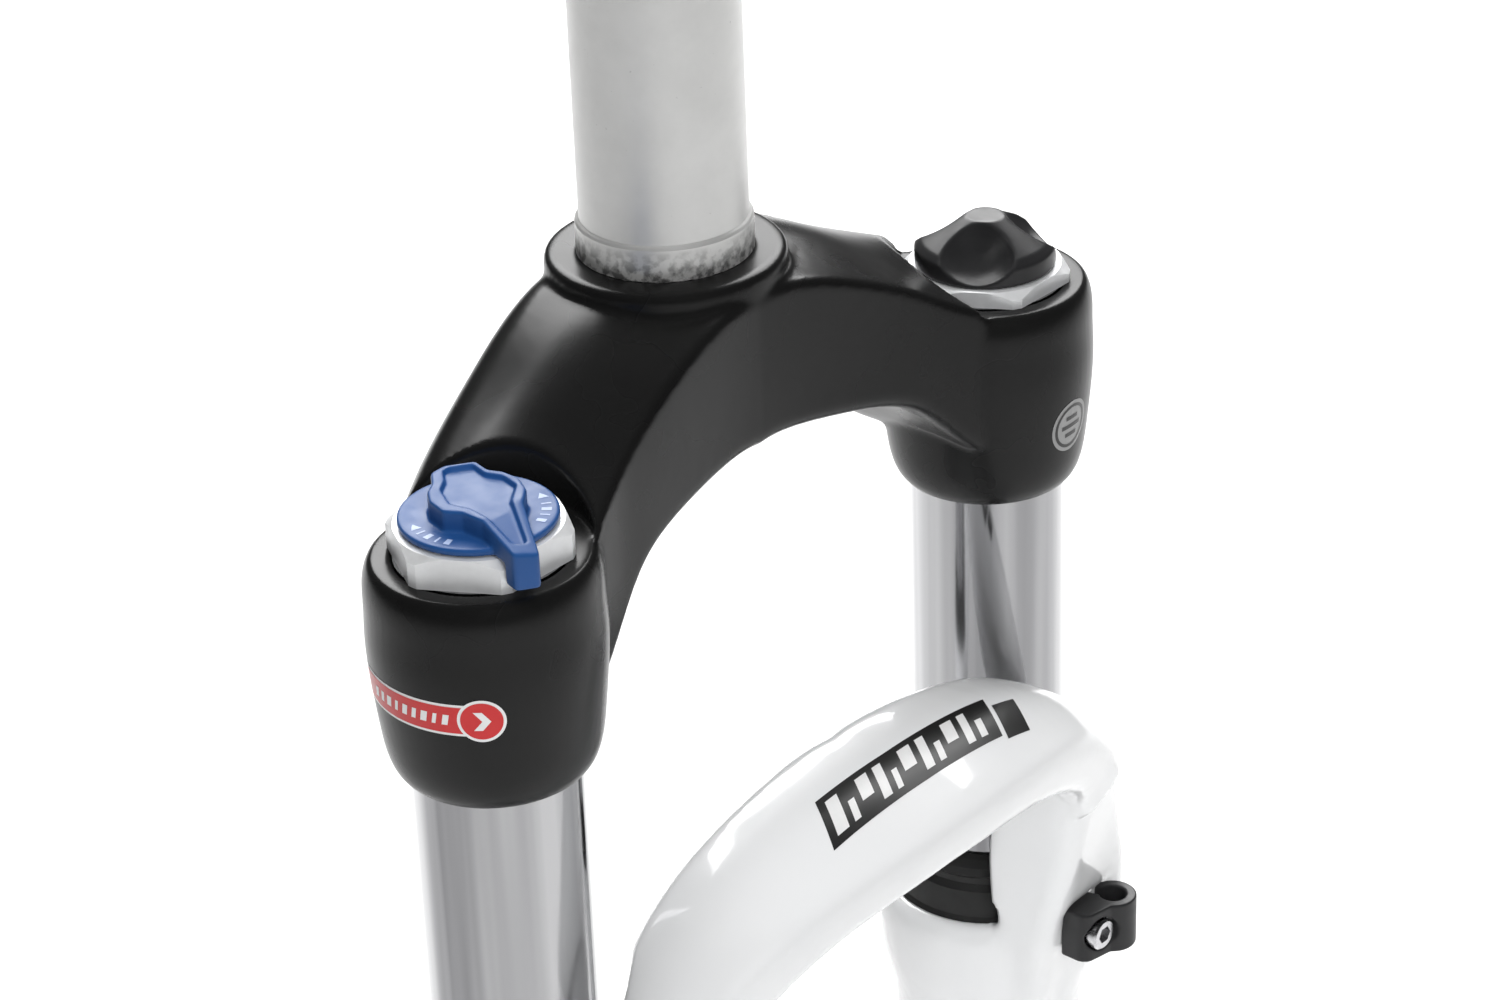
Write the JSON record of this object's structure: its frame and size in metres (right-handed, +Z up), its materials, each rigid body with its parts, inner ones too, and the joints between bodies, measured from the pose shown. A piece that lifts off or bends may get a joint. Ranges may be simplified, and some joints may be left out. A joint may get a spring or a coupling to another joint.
{
  "type": "bicycle suspension fork",
  "caption": "Telescopic bicycle fork: black crown on a steel steerer, chromed stanchions, blue lockout lever, preload knob and a white one-piece lower casting.",
  "frame": {"origin": "on the steerer axis, at the base of the crown race seat (the top face of the crown)", "axes": "+Z runs up the steerer; the fork faces -Y, so the wheel axle is along X and +X is the rider's left"},
  "size_m": [0.171, 0.083, 0.7408],
  "materials": {
    "black_paint": "gloss black paint on forged metal",
    "white_paint": "gloss white paint on a magnesium casting",
    "steerer_steel": "satin steel tube with a blasted race seat",
    "chromed_tube": "polished hard chrome",
    "cap_aluminium": "bright machined aluminium",
    "inner_aluminium": "plain machined aluminium",
    "black_rubber": "matte black rubber",
    "bumper_rubber": "matte dark rubber",
    "foam": "open foam soaked in oil",
    "blue_plastic": "satin blue moulding",
    "black_plastic": "gloss black moulding",
    "clip_plastic": "matte black moulding",
    "inner_plastic": "natural acetal",
    "bushing_plastic": "low-friction bushing plastic",
    "turned_steel": "bright turned steel",
    "spring_steel": "oiled spring steel",
    "bolt_steel": "zinc-plated steel",
    "washer_steel": "zinc-plated steel",
    "brass": "turned brass"
  },
  "bodies": {
    "upper": {"steerer_tube": "steerer_steel", "crown": "black_paint", "left_stanchion": "chromed_tube", "right_stanchion": "chromed_tube", "lockout_top_cap": "cap_aluminium", "preload_top_cap": "cap_aluminium", "top_cap_o_rings": "black_rubber", "damper_cartridge": "inner_aluminium", "damper_seal_head": "inner_aluminium", "damper_rod_seal": "black_rubber", "lockout_valve_body": "brass", "stanchion_end_plug": "inner_plastic", "topout_spring": "spring_steel", "main_spring": "spring_steel"},
    "lowers": {"lower_casting": "white_paint", "left_wiper": "black_rubber", "right_wiper": "black_rubber", "left_foam_ring": "foam", "right_foam_ring": "foam", "left_upper_bushing": "bushing_plastic", "right_upper_bushing": "bushing_plastic", "left_lower_bushing": "bushing_plastic", "right_lower_bushing": "bushing_plastic", "left_bottom_out_bumper": "bumper_rubber", "right_bottom_out_bumper": "bumper_rubber", "foot_bolts": "bolt_steel", "foot_washers": "washer_steel", "hose_guide": "clip_plastic", "hose_guide_bolt": "bolt_steel", "spring_support_rod": "inner_aluminium", "spring_lower_seat": "inner_plastic", "damper_rod": "turned_steel", "damper_piston": "inner_aluminium", "damper_piston_ring": "bushing_plastic", "damper_piston_nut": "turned_steel"},
    "lockout_dial": {"lockout_knob": "blue_plastic", "lockout_valve_rod": "turned_steel"},
    "preload_dial": {"preload_knob": "black_plastic", "preload_spindle": "turned_steel"},
    "preload_seat": {"preload_nut": "inner_plastic"}
  },
  "joints": [
    {"name": "fork_travel", "type": "slide", "parent": "upper", "child": "lowers", "axis": [0, 0, 1], "range_m": [0, 0.063], "stiffness_N_per_m": 6000, "springref_m": -0.02, "deforming": ["main_spring"]},
    {"name": "lockout_turn", "type": "hinge", "parent": "upper", "child": "lockout_dial", "pos_m": [-0.064, -0.0175, -0.018], "axis": [0, 0, -1], "range_deg": [0, 90]},
    {"name": "preload_turn", "type": "hinge", "parent": "upper", "child": "preload_dial", "pos_m": [0.064, -0.0175, -0.02], "axis": [0, 0, -1], "range_deg": [0, 1440]},
    {"name": "preload_slide", "type": "slide", "parent": "upper", "child": "preload_seat", "axis": [0, 0, -1], "range_m": [0, 0.008]}
  ],
  "couplings": [
    {"joint": "preload_slide", "follows": "preload_turn", "m_per_rad": 0.00031831}
  ]
}
